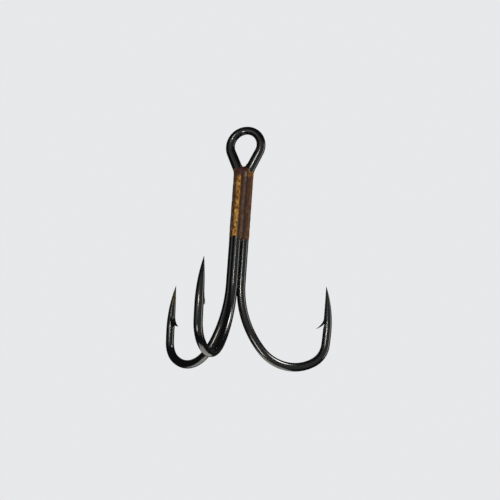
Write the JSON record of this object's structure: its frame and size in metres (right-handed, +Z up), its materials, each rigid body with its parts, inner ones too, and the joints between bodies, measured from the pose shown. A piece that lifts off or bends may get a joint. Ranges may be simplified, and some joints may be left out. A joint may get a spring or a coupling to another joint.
{
  "type": "treble hook",
  "caption": "Treble fishing hook: a double hook bent round into a teardrop eye and a single hook, brazed together, with tapered barbed points set evenly round the shank.",
  "frame": {"origin": "centre of the eye: the centre of the round top of the ring that the wire makes", "axes": "+Z up the shank towards the eye, +Y square to the eye's plane and away from the single hook's point, +X across the eye towards the right leg of the double hook"},
  "size_m": [0.0362, 0.0308, 0.0503],
  "materials": {
    "hook_wire": "glossy black nickel plating over high-carbon steel wire",
    "braze": "satin golden-brown brazing filler, lightly mottled"
  },
  "bodies": {
    "root": {"double_hook": "hook_wire", "single_hook": "hook_wire", "braze_left_fillet": "braze", "braze_right_fillet": "braze", "braze_rear_fill": "braze", "braze_crotch_cap": "braze"}
  },
  "joints": []
}
